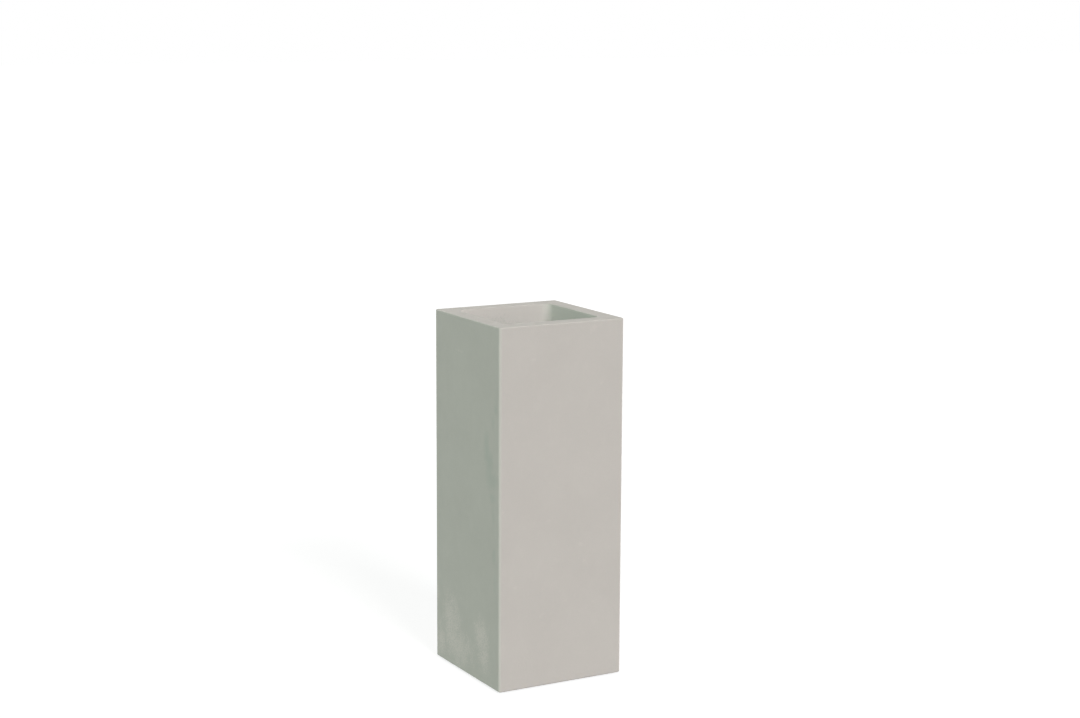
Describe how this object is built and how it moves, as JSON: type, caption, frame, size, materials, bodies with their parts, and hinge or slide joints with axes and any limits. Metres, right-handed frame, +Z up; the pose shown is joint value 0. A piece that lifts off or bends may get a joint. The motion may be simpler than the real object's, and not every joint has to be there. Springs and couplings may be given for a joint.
{
  "type": "tall planter",
  "caption": "Tall square fibreglass planter with a wide flat rim, a lift-out planting liner hung inside the mouth, a bonded floor with a drain stopper, and bolted rubber feet.",
  "frame": {"origin": "centre of the base, on the ground that the feet stand on", "axes": "+Z up, -Y towards the front face, +X to the right of the front face"},
  "size_m": [0.305, 0.305, 0.8],
  "materials": {
    "gelcoat": "matte warm grey gelcoat with a fine sanded texture",
    "laminate": "raw glass-fibre laminate, flow-coated",
    "batten": "plain sawn batten",
    "bush_plastic": "moulded, slightly glossy",
    "plug_rubber": "matte moulded rubber",
    "foot_rubber": "matte moulded rubber",
    "fastener_steel": "plain stainless steel",
    "liner_plastic": "dark moulded plastic with a light grain"
  },
  "bodies": {
    "planter": {"outer_shell": "gelcoat", "rim_core_front": "batten", "rim_core_back": "batten", "rim_core_left": "batten", "rim_core_right": "batten", "floor_panel": "laminate", "drain_bush": "bush_plastic", "foot_front_left": "foot_rubber", "foot_front_right": "foot_rubber", "foot_back_left": "foot_rubber", "foot_back_right": "foot_rubber", "foot_bolts": "fastener_steel", "foot_washers": "fastener_steel", "foot_nuts": "fastener_steel"},
    "liner": {"liner": "liner_plastic"},
    "drain_plug": {"drain_plug": "plug_rubber"}
  },
  "joints": [
    {"name": "liner_lift", "type": "slide", "parent": "planter", "child": "liner", "axis": [0, 0, 1], "range_m": [0, 0.375]},
    {"name": "drain_plug_pull", "type": "slide", "parent": "planter", "child": "drain_plug", "axis": [0, 0, 1], "range_m": [0, 0.05]}
  ]
}
